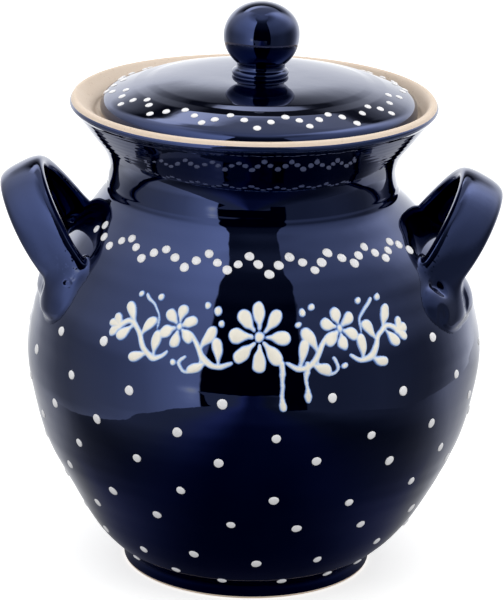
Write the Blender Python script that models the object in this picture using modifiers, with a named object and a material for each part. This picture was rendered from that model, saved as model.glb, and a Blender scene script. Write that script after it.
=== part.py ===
"""Potato storage pot: a round-bellied glazed crock with two strap handles and a lid with a ball knob.

Metres, +Z up. The origin is the centre of the foot ring on the surface that the pot stands on.
The handles lie along X, and -Y is the front. Dimensions below are in millimetres.
"""

import math

import bmesh
import bpy
from mathutils import Matrix, Vector

MM = 0.001
STEPS = 48  # flats round each turned piece

# Pot wall
FOOT_R = 70.6  # outside of the foot ring where it stands
FOOT_TOP_R = 69.0  # where the foot ring meets the belly
FOOT_H = 7.5
FOOT_RING_W = 8.0
FOOT_RECESS = 4.5  # the bottom stands this far off the surface inside the ring
BELLY_R = 128.0
BELLY_Z = 128.6
SHOULDER_R = 113.05  # a station on the shoulder, and the wall's slope there
SHOULDER_Z = 177.5
SHOULDER_DEG = 65.0
NECK_R = 80.3
NECK_LOW_Z = 227.8
NECK_HIGH_Z = 232.0
RIM_R = 101.5
RIM_Z = 269.6
FLARE_DEG = 60.5
WALL = 6.5
FLOOR_Z = 11.5  # inside floor

# Ledge inside the rim that carries the lid
LIP_TOP_Z = 272.2
LEDGE_Z = 262.0
LEDGE_OUT_R = 90.2
LEDGE_IN_R = 80.0

# Lid
LID_R = 88.4
LID_CROWN_Z = 284.2  # nearly level middle that the knob stands on
LID_CROWN_R = 30.0
LID_STEP_R = 62.8  # turned edge where the domed middle drops to the brim
LID_STEP_Z = 279.8
LID_BRIM_R = 64.2
LID_BRIM_Z = 278.5
LID_SHOULDER_R = 82.0
LID_SHOULDER_Z = 273.7
LID_WALL = 6.5
FLANGE_OUT_R = 77.4
FLANGE_IN_R = 72.6
FLANGE_Z = 252.0
GAP = 0.3  # between pieces that touch

# Knob: a ball, flatter above its widest line, on a short foot
KNOB_R = 21.1
KNOB_Z = 307.3
KNOB_UP = 18.0
KNOB_DOWN = 21.1
KNOB_NECK_R = 13.9
KNOB_FOOT_R = 15.7
KNOB_FOOT_H = 4.9  # the foot stands this high off the lid

# Strap handles: an arch whose plane leans out from the wall
HANDLE_HALF_SPAN = 49.6
HANDLE_RISE = 55.0
HANDLE_TILT_DEG = 58.5  # the arch's plane above horizontal
HANDLE_POWER = 1.8  # 2 would be an ellipse
HANDLE_ROOT_X = 99.2
HANDLE_ROOT_Z = 178.6
STRAP_W = 26.5
STRAP_T = 9.8
STRAP_EDGE = 3.6
ROOT_EXTRA = 16.0  # strap carried on into the wall before it is cut to it
PAD_DEG = 24.0  # thumbed-down end of the strap, from the X axis
PAD_Z = 171.5
PAD_W = 16.0
PAD_H = 18.0
PAD_T = 6.8


def bezier(p0, p1, p2, p3, count):
    """Points of a cubic curve, both ends included."""
    points = []
    for i in range(count + 1):
        t = i / count
        s = 1 - t
        points.append(
            tuple(
                s**3 * a + 3 * s * s * t * b + 3 * s * t * t * c + t**3 * d
                for a, b, c, d in zip(p0, p1, p2, p3)
            )
        )
    return points


def outer_wall():
    """The outside of the wall from the top of the foot ring to the underside of the rim, as (radius, height)."""
    slope = math.radians(SHOULDER_DEG)
    up = (-math.cos(slope), math.sin(slope))
    flare = math.radians(FLARE_DEG)
    belly = (BELLY_R, BELLY_Z)
    shoulder = (SHOULDER_R, SHOULDER_Z)
    neck = (NECK_R, NECK_LOW_Z)
    rim = (RIM_R - 0.6, RIM_Z - 1.8)
    low = bezier(
        (FOOT_TOP_R, FOOT_H), (FOOT_TOP_R + 7.5, FOOT_H - 2.0), (BELLY_R, BELLY_Z - 60.0), belly, 9
    )
    mid = bezier(
        belly,
        (BELLY_R, BELLY_Z + 26.4),
        (shoulder[0] - 6.0 * up[0], shoulder[1] - 6.0 * up[1]),
        shoulder,
        5,
    )
    high = bezier(
        shoulder,
        (shoulder[0] + 36.5 * up[0], shoulder[1] + 36.5 * up[1]),
        (NECK_R, NECK_LOW_Z - 15.4),
        neck,
        7,
    )
    top = bezier(
        (NECK_R, NECK_HIGH_Z),
        (NECK_R, NECK_HIGH_Z + 16.0),
        (rim[0] - 23.3 * math.cos(flare), rim[1] - 23.3 * math.sin(flare)),
        rim,
        6,
    )
    return low + mid[1:] + high[1:] + top


def offset(points, distance):
    """The points moved to the left of the way they run."""
    moved = []
    for i, (r, z) in enumerate(points):
        before = points[max(i - 1, 0)]
        after = points[min(i + 1, len(points) - 1)]
        dr, dz = after[0] - before[0], after[1] - before[1]
        length = math.hypot(dr, dz)
        moved.append((r - distance * dz / length, z + distance * dr / length))
    return moved


def pot_profile():
    """Inside floor, up the inside, over the lip, down the outside and under the foot."""
    outside = outer_wall()
    inside = [
        (r, z) for r, z in offset(outside, WALL) if FLOOR_Z + 12.0 < z < LEDGE_Z - 11.0
    ]
    floor = [(0.0, FLOOR_Z), (48.0, FLOOR_Z), (64.0, FLOOR_Z + 3.6)]
    throat = [
        (LEDGE_IN_R - 0.2, LEDGE_Z - 6.0),
        (LEDGE_IN_R, LEDGE_Z - 1.0),
        (LEDGE_IN_R + 1.0, LEDGE_Z),
    ]
    ledge = [(LEDGE_OUT_R - 1.2, LEDGE_Z), (LEDGE_OUT_R, LEDGE_Z + 1.2)]
    lip = [
        (96.9, LIP_TOP_Z - 0.9),
        (98.1, LIP_TOP_Z),
        (99.7, LIP_TOP_Z - 0.4),
        (RIM_R - 0.3, RIM_Z + 0.9),
        (RIM_R, RIM_Z - 0.3),
    ]
    foot = [
        (FOOT_R + 0.2, 1.6),
        (FOOT_R - 0.8, 0.0),
        (FOOT_R - FOOT_RING_W, 0.0),
        (FOOT_R - FOOT_RING_W - 2.4, FOOT_RECESS),
        (0.0, FOOT_RECESS),
    ]
    return floor + inside + throat + ledge + lip + outside[::-1] + foot


def lid_profile():
    """Crown, over the dome, down the step to the brim and round the edge, along the underside and back to the middle."""
    dome = bezier(
        (LID_CROWN_R, LID_CROWN_Z),
        (LID_CROWN_R + 14.0, LID_CROWN_Z),
        (LID_STEP_R - 8.3, LID_STEP_Z + 2.5),
        (LID_STEP_R, LID_STEP_Z),
        5,
    )
    brim_mid = ((LID_BRIM_R + LID_SHOULDER_R) / 2, (LID_BRIM_Z + LID_SHOULDER_Z) / 2 - 0.2)
    top = dome + [(LID_BRIM_R, LID_BRIM_Z), brim_mid]
    edge = bezier(
        (LID_SHOULDER_R, LID_SHOULDER_Z),
        (LID_R - 1.6, LID_SHOULDER_Z - 1.0),
        (LID_R, LID_SHOULDER_Z - 3.4),
        (LID_R, LEDGE_Z + 4.0),
        5,
    )
    rest = [(LID_R - 1.6, LEDGE_Z + GAP), (FLANGE_OUT_R + 1.2, LEDGE_Z + GAP)]
    flange = [
        (FLANGE_OUT_R, LEDGE_Z - 1.2),
        (FLANGE_OUT_R - 0.6, FLANGE_Z),
        (FLANGE_IN_R + 0.6, FLANGE_Z),
        (FLANGE_IN_R, LEDGE_Z + 2.0),
        (FLANGE_IN_R - 4.0, LID_BRIM_Z - 1.2 - LID_WALL),
    ]
    inside = [
        (LID_STEP_R - 6.8, LID_STEP_Z + 1.8 - LID_WALL),
        (LID_CROWN_R + 10.0, LID_CROWN_Z - 0.6 - LID_WALL),
        (LID_CROWN_R - 6.0, LID_CROWN_Z - LID_WALL),
        (0.0, LID_CROWN_Z - LID_WALL),
    ]
    return [(0.0, LID_CROWN_Z)] + top + edge + rest + flange + inside


def knob_profile():
    """From the top of the ball down to the flat under its foot."""
    upper = [
        (KNOB_R * math.sin(a), KNOB_Z + KNOB_UP * math.cos(a))
        for a in (math.radians(90 * i / 6) for i in range(7))
    ]
    base_z = LID_CROWN_Z + GAP
    stop = math.asin(KNOB_NECK_R / KNOB_R)
    lower = [
        (KNOB_R * math.cos(a), KNOB_Z - KNOB_DOWN * math.sin(a))
        for a in (i / 5 * (math.pi / 2 - stop) for i in range(1, 6))
    ]
    foot = [
        (KNOB_FOOT_R - 0.4, base_z + KNOB_FOOT_H),
        (KNOB_FOOT_R, base_z + KNOB_FOOT_H - 0.8),
        (KNOB_FOOT_R + 0.6, base_z),
        (0.0, base_z),
    ]
    return upper + lower + foot


def material(name, colour, roughness):
    made = bpy.data.materials.new(name)
    made.use_nodes = True
    shader = made.node_tree.nodes["Principled BSDF"]
    shader.inputs["Base Color"].default_value = (*colour, 1.0)
    shader.inputs["Roughness"].default_value = roughness
    shader.inputs["Metallic"].default_value = 0.0
    return made


def add(name, mesh, collection, finish):
    made = bpy.data.objects.new(name, mesh)
    collection.objects.link(made)
    if finish:
        mesh.materials.append(finish)
    return made


def turned(name, profile, collection, finish):
    """A solid turned from a profile at +X, with its origin on the axis."""
    mesh = bpy.data.meshes.new(name)
    points = [(r * MM, 0.0, z * MM) for r, z in profile]
    mesh.from_pydata(points, [(i, i + 1) for i in range(len(points) - 1)], [])
    made = add(name, mesh, collection, finish)
    screw = made.modifiers.new("Turn", "SCREW")
    screw.axis = "Z"
    screw.angle = math.tau
    screw.steps = screw.render_steps = STEPS
    screw.use_merge_vertices = True
    screw.merge_threshold = 0.00001
    screw.use_smooth_shade = True
    return made


def arch_line(count):
    """The strap's middle line in the plane of the arch, as (along, up), evenly spaced, with its ends run on."""
    fine = []
    for i in range(401):
        a = math.pi * i / 400
        c, s = math.cos(a), abs(math.sin(a))
        fine.append(
            (
                -HANDLE_HALF_SPAN * math.copysign(abs(c) ** (2 / HANDLE_POWER), c),
                HANDLE_RISE * s ** (2 / HANDLE_POWER),
            )
        )
    lengths = [0.0]
    for a, b in zip(fine, fine[1:]):
        lengths.append(lengths[-1] + math.dist(a, b))
    points, j = [], 0
    for i in range(count + 1):
        want = lengths[-1] * i / count
        while j < len(fine) - 2 and lengths[j + 1] < want:
            j += 1
        t = (want - lengths[j]) / (lengths[j + 1] - lengths[j])
        points.append(
            (fine[j][0] + t * (fine[j + 1][0] - fine[j][0]), fine[j][1] + t * (fine[j + 1][1] - fine[j][1]))
        )
    lean = (points[0][0] - points[1][0], points[0][1] - points[1][1])
    grow = ROOT_EXTRA / math.hypot(*lean)
    first = (points[0][0] + lean[0] * grow, points[0][1] + lean[1] * grow)
    return [first] + points + [(-first[0], first[1])]


def body_cutter(collection):
    """The pot's whole outer form, with the gap that keeps the handles off the wall."""
    grown = offset(outer_wall(), -GAP)
    profile = [(0.0, LIP_TOP_Z)] + grown[::-1] + [(0.0, FOOT_H)]
    made = turned("body_form", profile, collection, None)
    made.hide_render = True
    made.display_type = "WIRE"
    return made


def pad(name, side, front, collection):
    """The thumbed-down end of a strap, as a flattened ball against the wall."""
    mesh = bpy.data.meshes.new(name)
    shape = bmesh.new()
    bmesh.ops.create_uvsphere(shape, u_segments=16, v_segments=10, radius=1.0)
    angle = math.radians(PAD_DEG) * front
    out = Vector((math.cos(angle) * side, math.sin(angle), 0.0))
    tilt = math.radians(26.0)  # the shoulder leans in by about this much here
    normal = Vector((out.x * math.cos(tilt), out.y * math.cos(tilt), math.sin(tilt)))
    across = Vector((0.0, 0.0, 1.0)).cross(out)
    along = normal.cross(across)
    radius = 116.0
    turn = Matrix((across * PAD_W, along * PAD_H, normal * PAD_T)).transposed().to_4x4()
    place = Matrix.Translation((out.x * radius, out.y * radius, PAD_Z)) @ turn
    bmesh.ops.transform(shape, matrix=Matrix.Scale(MM, 4) @ place, verts=shape.verts)
    bmesh.ops.recalc_face_normals(shape, faces=shape.faces)
    shape.to_mesh(mesh)
    shape.free()
    made = add(name, mesh, collection, None)
    made.hide_render = True
    made.display_type = "WIRE"
    return made


def handle(name, side, form, collection, cutters, finish):
    """A strap bent into an arch: a flat ribbon as thick as the strap, given the strap's width, its ends thumbed onto the wall."""
    line = arch_line(18)
    edges = offset(line, STRAP_T / 2) + offset(line, -STRAP_T / 2)
    count = len(line)
    mesh = bpy.data.meshes.new(name)
    mesh.from_pydata(
        [(x * MM, y * MM, 0.0) for x, y in edges],
        [],
        [(i, i + 1, count + i + 1, count + i) for i in range(count - 1)],
    )
    made = add(name, mesh, collection, finish)

    tilt = math.radians(HANDLE_TILT_DEG)
    along = Vector((0.0, 1.0, 0.0))
    up = Vector((math.cos(tilt) * side, 0.0, math.sin(tilt)))
    made.matrix_world = Matrix.Translation(
        (HANDLE_ROOT_X * MM * side, 0.0, HANDLE_ROOT_Z * MM)
    ) @ Matrix((along, up, along.cross(up))).transposed().to_4x4()

    width = made.modifiers.new("Strap width", "SOLIDIFY")
    width.thickness = STRAP_W * MM
    width.offset = 0.0
    soft = made.modifiers.new("Soft edges", "BEVEL")
    soft.width = STRAP_EDGE * MM
    soft.segments = 2
    soft.limit_method = "ANGLE"
    soft.angle_limit = math.radians(60)
    for front in (-1, 1):
        join = made.modifiers.new("Root", "BOOLEAN")
        join.operation = "UNION"
        join.object = pad(f"{name}_pad_{'front' if front < 0 else 'back'}", side, front, cutters)
    cut = made.modifiers.new("Fit to wall", "BOOLEAN")
    cut.operation = "DIFFERENCE"
    cut.object = form
    return made


def main():
    for obj in list(bpy.data.objects):
        bpy.data.objects.remove(obj, do_unlink=True)
    scene = bpy.context.scene
    parts = bpy.data.collections.new("potato_pot")
    cutters = bpy.data.collections.new("cutters")
    scene.collection.children.link(parts)
    scene.collection.children.link(cutters)
    cutters.hide_render = True

    blue = (0.012, 0.014, 0.062)
    turned("pot_body", pot_profile(), parts, material("pot_glaze", blue, 0.06))
    form = body_cutter(cutters)
    handle("handle_left", -1, form, parts, cutters, material("handle_left_glaze", blue, 0.06))
    handle("handle_right", 1, form, parts, cutters, material("handle_right_glaze", blue, 0.06))
    turned("lid", lid_profile(), parts, material("lid_glaze", blue, 0.06))
    turned("lid_knob", knob_profile(), parts, material("knob_glaze", blue, 0.06))


main()
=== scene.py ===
"""Looks of the potato storage pot: glazed stoneware with raised slip dots, a slip-trailed flower spray,
a bare clay rim, pulled strap handles, and a lid with a ball knob. Metres, +Z up, -Y is the front."""

import math
import random

import bmesh
import bpy
import numpy as np
from mathutils import Matrix, Vector


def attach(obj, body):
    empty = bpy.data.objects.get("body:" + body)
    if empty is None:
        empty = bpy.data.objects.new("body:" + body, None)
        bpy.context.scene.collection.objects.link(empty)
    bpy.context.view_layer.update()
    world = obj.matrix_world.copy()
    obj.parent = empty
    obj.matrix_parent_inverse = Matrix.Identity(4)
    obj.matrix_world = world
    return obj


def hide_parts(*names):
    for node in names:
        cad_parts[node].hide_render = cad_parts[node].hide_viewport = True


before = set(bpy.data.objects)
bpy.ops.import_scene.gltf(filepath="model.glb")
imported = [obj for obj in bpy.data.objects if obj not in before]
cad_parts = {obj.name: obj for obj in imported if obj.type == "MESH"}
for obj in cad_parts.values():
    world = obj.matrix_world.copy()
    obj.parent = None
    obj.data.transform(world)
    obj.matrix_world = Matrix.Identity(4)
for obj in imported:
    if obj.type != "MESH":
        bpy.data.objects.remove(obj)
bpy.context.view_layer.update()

MM = 0.001
scene = bpy.context.scene


# ---------------------------------------------------------------- small helpers

def spline(xs, ys):
    """A natural cubic curve through the points, as a function of x."""
    x, y = np.array(xs, float), np.array(ys, float)
    n, h = len(x), np.diff(x)
    a = np.zeros((n, n))
    b = np.zeros(n)
    a[0, 0] = a[-1, -1] = 1
    for i in range(1, n - 1):
        a[i, i - 1 : i + 2] = h[i - 1], 2 * (h[i - 1] + h[i]), h[i]
        b[i] = 3 * ((y[i + 1] - y[i]) / h[i] - (y[i] - y[i - 1]) / h[i - 1])
    c = np.linalg.solve(a, b)
    d = (c[1:] - c[:-1]) / (3 * h)
    s = (y[1:] - y[:-1]) / h - h * (2 * c[:-1] + c[1:]) / 3

    def at(v):
        v = np.asarray(v, float)
        i = np.clip(np.searchsorted(x, v) - 1, 0, n - 2)
        t = v - x[i]
        return y[i] + s[i] * t + c[i] * t**2 + d[i] * t**3

    return at


def smooth(v, low, high):
    t = np.clip((np.asarray(v, float) - low) / (high - low), 0, 1)
    return t * t * (3 - 2 * t)


def bump(v, middle, width):
    return np.exp(-(((np.asarray(v, float) - middle) / width) ** 2))


def waves(seed, count, around, along, size):
    """A gentle unevenness of a turned surface, as a function of (angle, height in mm), in mm."""
    r = random.Random(seed)
    parts = [
        (r.randint(*around), r.uniform(*along) * r.choice((-1, 1)), r.uniform(0, math.tau), r.uniform(0.5, 1.0))
        for _ in range(count)
    ]
    total = math.sqrt(sum(p[3] ** 2 for p in parts) / 2)

    def at(angle, z):
        out = 0
        for n, k, phase, weight in parts:
            out = out + weight * np.sin(n * angle + k * z + phase)
        return out * (size / total)

    return at


def mesh_object(name, verts, faces, material=None, flat=()):
    mesh = bpy.data.meshes.new(name)
    mesh.from_pydata([tuple(v) for v in verts], [], [tuple(int(i) for i in f) for f in faces])
    mesh.validate()
    mesh.update()
    made = bpy.data.objects.new(name, mesh)
    scene.collection.objects.link(made)
    for p in mesh.polygons:
        p.use_smooth = True
    if material:
        mesh.materials.append(material)
    return made


def soften(points, steps=1):
    """Rounds a profile's corners by cutting them (Chaikin), ends kept."""
    p = [np.array(q, float) for q in points]
    for _ in range(steps):
        out = [p[0]]
        for a, b in zip(p[:-1], p[1:]):
            out += [a * 0.75 + b * 0.25, a * 0.25 + b * 0.75]
        out.append(p[-1])
        p = out
    return [tuple(q) for q in p]


def resample(points, step):
    """Points about step apart along the line, the given ones' shape kept."""
    p = np.array(points, float)
    s = np.r_[0, np.cumsum(np.hypot(*np.diff(p, axis=0).T))]
    n = max(int(round(s[-1] / step)), 1)
    t = np.linspace(0, s[-1], n + 1)
    return list(zip(np.interp(t, s, p[:, 0]), np.interp(t, s, p[:, 1])))


# ---------------------------------------------------------------- the pot's form, in mm

wall_r = spline(
    [6, 13, 20, 45, 70, 95, 120, 145, 160, 172, 183, 193, 201, 208, 214, 219.5, 225, 231, 238, 246, 250, 254, 258, 262, 265, 268.5],
    [68.4, 76.4, 83.9, 101.2, 114.4, 123.1, 127.7, 126.3, 121.9, 116.0, 110.3, 104.5, 98.5, 92.0, 86.8, 82.4, 80.7, 80.1, 81.2, 85.3, 88.35, 91.4, 94.35, 97.25, 99.4, 101.7],
)
throwing = waves(7, 9, (0, 4), (0.03, 0.16), 0.16)
rings = waves(11, 5, (0, 1), (0.35, 0.75), 0.035)


def outer_r(angle, z):
    """Radius of the outside of the wall about the leaning axis, with its throwing marks and the line where the neck was joined."""
    z = np.asarray(z, float)
    r = wall_r(z)
    high = 1 - smooth(z, 232, 246)
    r = r + smooth(z, 8, 30) * (throwing(angle, z) * (0.25 + 0.75 * high) * (1 - smooth(z, 258, 266)) + rings(angle, z) * high)
    wave = 0.5 * np.sin(angle + 0.6)
    r = r + FLARE_RINGS * np.sin(math.tau * (z + 0.5 * np.sin(angle * 1 + 2.0) + 0.25 * np.sin(angle * 3)) / 2.5) * smooth(z, 245, 249) * (1 - smooth(z, 262, 264.5)) * smooth(np.abs(np.sin(angle)), 0.52, 0.74)
    r = r - 0.16 * bump(z, NECK_LINE + wave, 0.8) - 0.12 * bump(z, NECK_LINE - 3.4 + wave, 0.8)
    return r + 0.10 * bump(z, NECK_LINE - 1.7 + wave, 1.0)


NECK_LINE = 223.4
FLARE_RINGS = 0.024


def lean(z):
    """How far the axis of the hand-thrown pot stands off the middle, along X."""
    z = np.asarray(z, float)
    return -1.6 * (1 - smooth(z, 5, 40)) - 2.9 * smooth(z, 188, 232)


def on_wall(angle, z, out=0.0):
    """A point on the outside of the wall, or out from it, in mm. Angle 0 is the front, and it grows towards +X."""
    angle, z = np.asarray(angle, float), np.asarray(z, float)
    r = outer_r(angle, z)
    slope = (wall_r(z + 0.5) - wall_r(z - 0.5)) / 1.0
    k = 1 / np.sqrt(1 + slope**2)
    rr = r + out * k
    return np.stack([lean(z) + rr * np.sin(angle), -rr * np.cos(angle), z - out * slope * k], -1)


SEGMENTS = 264


def turned(name, rows, close_top=False, close_bottom=False, segments=SEGMENTS):
    """A turned skin: rows are (radius, height, axis shift) tuples from first to last, each radius a number or an array
    round the circle.
    """
    angle = np.arange(segments) * math.tau / segments
    verts, faces = [], []
    for r, z, shift in rows:
        r = np.broadcast_to(np.asarray(r, float), (segments,))
        z = np.broadcast_to(np.asarray(z, float), (segments,))
        verts.append(np.stack([shift + r * np.sin(angle), -r * np.cos(angle), z], -1))
    count = len(rows)
    verts = np.concatenate(verts) * MM
    j = np.arange(segments)
    k = (j + 1) % segments
    for i in range(count - 1):
        a, b = i * segments, (i + 1) * segments
        faces.append(np.stack([a + j, b + j, b + k, a + k], -1))
    faces = [tuple(f) for f in np.concatenate(faces)]
    verts = [tuple(v) for v in verts]
    if close_top:
        verts.append(((rows[0][2]) * MM, 0.0, float(np.mean(rows[0][1])) * MM))
        n = len(verts) - 1
        faces += [(n, int(a), int(b)) for a, b in zip(j, k)]
    if close_bottom:
        verts.append(((rows[-1][2]) * MM, 0.0, float(np.mean(rows[-1][1])) * MM))
        n, a0 = len(verts) - 1, (count - 1) * segments
        faces += [(n, int(a0 + b), int(a0 + a)) for a, b in zip(j, k)]
    return verts, faces


# ---------------------------------------------------------------- materials

def node_material(name):
    made = bpy.data.materials.new(name)
    made.use_nodes = True
    tree = made.node_tree
    return made, tree, tree.nodes["Principled BSDF"]


def link(tree, a, b):
    tree.links.new(a, b)


def noise(tree, where, scale, detail=2.0, rough=0.5, distortion=0.0):
    n = tree.nodes.new("ShaderNodeTexNoise")
    n.inputs["Scale"].default_value = scale
    n.inputs["Detail"].default_value = detail
    n.inputs["Roughness"].default_value = rough
    n.inputs["Distortion"].default_value = distortion
    link(tree, where, n.inputs["Vector"])
    return n.outputs["Fac"]


def mapped(tree, value, low, high, to_low=0.0, to_high=1.0, kind="SMOOTHSTEP"):
    n = tree.nodes.new("ShaderNodeMapRange")
    n.interpolation_type = kind
    n.inputs["From Min"].default_value = low
    n.inputs["From Max"].default_value = high
    n.inputs["To Min"].default_value = to_low
    n.inputs["To Max"].default_value = to_high
    link(tree, value, n.inputs["Value"])
    return n.outputs["Result"]


def calc(tree, kind, a, b=None, c=None, clamp=False):
    n = tree.nodes.new("ShaderNodeMath")
    n.operation = kind
    n.use_clamp = clamp
    for i, v in enumerate((a, b, c)):
        if v is None:
            continue
        if isinstance(v, (int, float)):
            n.inputs[i].default_value = v
        else:
            link(tree, v, n.inputs[i])
    return n.outputs[0]


def mixed(tree, fac, a, b):
    n = tree.nodes.new("ShaderNodeMix")
    n.data_type = "RGBA"
    if isinstance(fac, (int, float)):
        n.inputs["Factor"].default_value = fac
    else:
        link(tree, fac, n.inputs["Factor"])
    for socket, v in ((n.inputs[6], a), (n.inputs[7], b)):
        if isinstance(v, tuple):
            socket.default_value = (*v, 1.0)
        else:
            link(tree, v, socket)
    return n.outputs[2]


def object_place(tree):
    return tree.nodes.new("ShaderNodeTexCoord").outputs["Object"]


def bumped(tree, height, strength, distance, normal=None):
    n = tree.nodes.new("ShaderNodeBump")
    n.inputs["Strength"].default_value = strength
    n.inputs["Distance"].default_value = distance
    link(tree, height, n.inputs["Height"])
    if normal is not None:
        link(tree, normal, n.inputs["Normal"])
    return n.outputs["Normal"]


GLAZE_IOR = 1.95
GLAZE_TINT = (0.31, 0.42, 1.0, 1.0)
GLAZE_DEEP = (0.0008, 0.0010, 0.0030)
GLAZE_THIN = (0.0024, 0.0036, 0.014)


def glaze_colour(tree, place):
    """Deep cobalt, a little paler in slow clouds where the glaze ran thin, with tiny specks."""
    cloud = mapped(tree, noise(tree, place, 14.0, 3.0, 0.6), 0.45, 0.75)
    speck = mapped(tree, noise(tree, place, 420.0, 1.0, 0.5), 0.74, 0.80)
    base = mixed(tree, cloud, GLAZE_DEEP, tuple(0.7 * a + 0.3 * b for a, b in zip(GLAZE_DEEP, GLAZE_THIN)))
    return mixed(tree, calc(tree, "MULTIPLY", speck, 0.4), base, GLAZE_THIN)


def glaze_normal(tree, place, strength=1.0):
    """The skin of a fired glaze: a slow ripple, faint orange peel and a few pinholes."""
    slow = noise(tree, place, 38.0, 1.0, 0.4)
    fine = noise(tree, place, 210.0, 1.0, 0.4)
    first = bumped(tree, slow, 0.20 * strength, 0.0012)
    return bumped(tree, fine, 0.10 * strength, 0.00018, first)


def glaze_rough(tree, place):
    return mapped(tree, noise(tree, place, 60.0, 3.0, 0.6), 0.3, 0.8, 0.018, 0.045, "LINEAR")


def set_glaze(shader):
    shader.inputs["IOR"].default_value = GLAZE_IOR
    shader.inputs["Specular Tint"].default_value = GLAZE_TINT


def make_glaze(name="cobalt_glaze", thin_from=None):
    """thin_from is a height (m) above which the glaze ran thin and the clay lifts its colour."""
    made, tree, shader = node_material(name)
    place = object_place(tree)
    set_glaze(shader)
    colour = glaze_colour(tree, place)
    if thin_from:
        split = tree.nodes.new("ShaderNodeSeparateXYZ")
        link(tree, place, split.inputs[0])
        uneven = calc(tree, "MULTIPLY", calc(tree, "SUBTRACT", noise(tree, place, 60.0, 2.0, 0.5), 0.5), 0.0016)
        thin = mapped(tree, calc(tree, "ADD", split.outputs[2], uneven), thin_from, thin_from + 0.0030)
        colour = mixed(tree, thin, colour, (0.0085, 0.0135, 0.036))
    link(tree, colour, shader.inputs["Base Color"])
    link(tree, glaze_rough(tree, place), shader.inputs["Roughness"])
    link(tree, glaze_normal(tree, place), shader.inputs["Normal"])
    return made


def clay_colour(tree, place):
    """Fired stoneware: warm cream with brown blush, fine sand and darker iron specks."""
    blush = mapped(tree, noise(tree, place, 26.0, 4.0, 0.6), 0.40, 0.72)
    sand = mapped(tree, noise(tree, place, 900.0, 2.0, 0.6), 0.35, 0.7)
    speck = mapped(tree, noise(tree, place, 520.0, 1.0, 0.5), 0.71, 0.77)
    base = mixed(tree, calc(tree, "MULTIPLY", blush, 0.5), (0.78, 0.64, 0.515), (0.70, 0.545, 0.41))
    base = mixed(tree, calc(tree, "MULTIPLY", sand, 0.16), base, (0.90, 0.79, 0.67))
    return mixed(tree, calc(tree, "MULTIPLY", speck, 0.35), base, (0.36, 0.21, 0.11))


def make_clay():
    made, tree, shader = node_material("bare_clay")
    place = object_place(tree)
    link(tree, clay_colour(tree, place), shader.inputs["Base Color"])
    shader.inputs["IOR"].default_value = 1.45
    link(tree, mapped(tree, noise(tree, place, 300.0, 2.0), 0.2, 0.8, 0.42, 0.60, "LINEAR"), shader.inputs["Roughness"])
    grain = noise(tree, place, 1100.0, 2.0, 0.6)
    ring = noise(tree, place, 180.0, 1.0, 0.4)
    link(tree, bumped(tree, grain, 0.25, 0.0002, bumped(tree, ring, 0.15, 0.0003)), shader.inputs["Normal"])
    return made


def make_inner_glaze():
    """The inside wears a clear glaze over the buff clay."""
    made, tree, shader = node_material("buff_inner_glaze")
    place = object_place(tree)
    cloud = mapped(tree, noise(tree, place, 18.0, 4.0, 0.6), 0.35, 0.75)
    speck = mapped(tree, noise(tree, place, 300.0, 1.0, 0.5), 0.70, 0.78)
    base = mixed(tree, cloud, (0.60, 0.44, 0.27), (0.50, 0.34, 0.19))
    base = mixed(tree, calc(tree, "MULTIPLY", speck, 0.6), base, (0.20, 0.10, 0.05))
    link(tree, base, shader.inputs["Base Color"])
    shader.inputs["IOR"].default_value = 1.5
    link(tree, mapped(tree, noise(tree, place, 50.0, 3.0), 0.3, 0.8, 0.08, 0.16, "LINEAR"), shader.inputs["Roughness"])
    link(tree, bumped(tree, noise(tree, place, 45.0, 2.0), 0.2, 0.0012), shader.inputs["Normal"])
    return made


def make_slip(name, body, thin, rough=(0.06, 0.14)):
    """Raised slip under the shine of the glaze: body colour where it lies thick, thin colour at its feathered edge (attribute thick, 0 to 1)."""
    made, tree, shader = node_material(name)
    place = object_place(tree)
    thick = tree.nodes.new("ShaderNodeAttribute")
    thick.attribute_name = "thick"
    grain = noise(tree, place, 420.0, 2.0, 0.6)
    pull = noise(tree, place, 70.0, 2.0, 0.6)
    level = calc(tree, "ADD", thick.outputs["Fac"], calc(tree, "MULTIPLY", calc(tree, "SUBTRACT", grain, 0.5), 0.16))
    level = calc(tree, "ADD", level, calc(tree, "MULTIPLY", calc(tree, "SUBTRACT", pull, 0.5), 0.22))
    cover = mapped(tree, level, 0.20, 0.62)
    mid = mapped(tree, level, 0.04, 0.26)
    edge = mapped(tree, level, -0.16, 0.06)
    tone = mixed(tree, mapped(tree, noise(tree, place, 90.0, 3.0), 0.35, 0.7), body, tuple(v * 0.94 for v in body))
    colour = mixed(tree, cover, thin, tone)
    colour = mixed(tree, mid, (0.10, 0.20, 0.52), colour)
    colour = mixed(tree, edge, (0.008, 0.016, 0.085), colour)
    link(tree, colour, shader.inputs["Base Color"])
    shader.inputs["IOR"].default_value = 1.5
    link(tree, mapped(tree, grain, 0.2, 0.8, rough[0], rough[1], "LINEAR"), shader.inputs["Roughness"])
    link(tree, bumped(tree, grain, 0.10, 0.0003), shader.inputs["Normal"])
    return made


glaze = make_glaze()
pot_glaze = make_glaze("cobalt_glaze_pot", 0.2650)
clay = make_clay()
inner_glaze = make_inner_glaze()
white_slip = make_slip("white_slip", (0.90, 0.90, 0.92), (0.62, 0.70, 0.90))
cream_slip = make_slip("cream_slip", (0.92, 0.875, 0.77), (0.52, 0.66, 0.90))


# ---------------------------------------------------------------- pot

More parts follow.
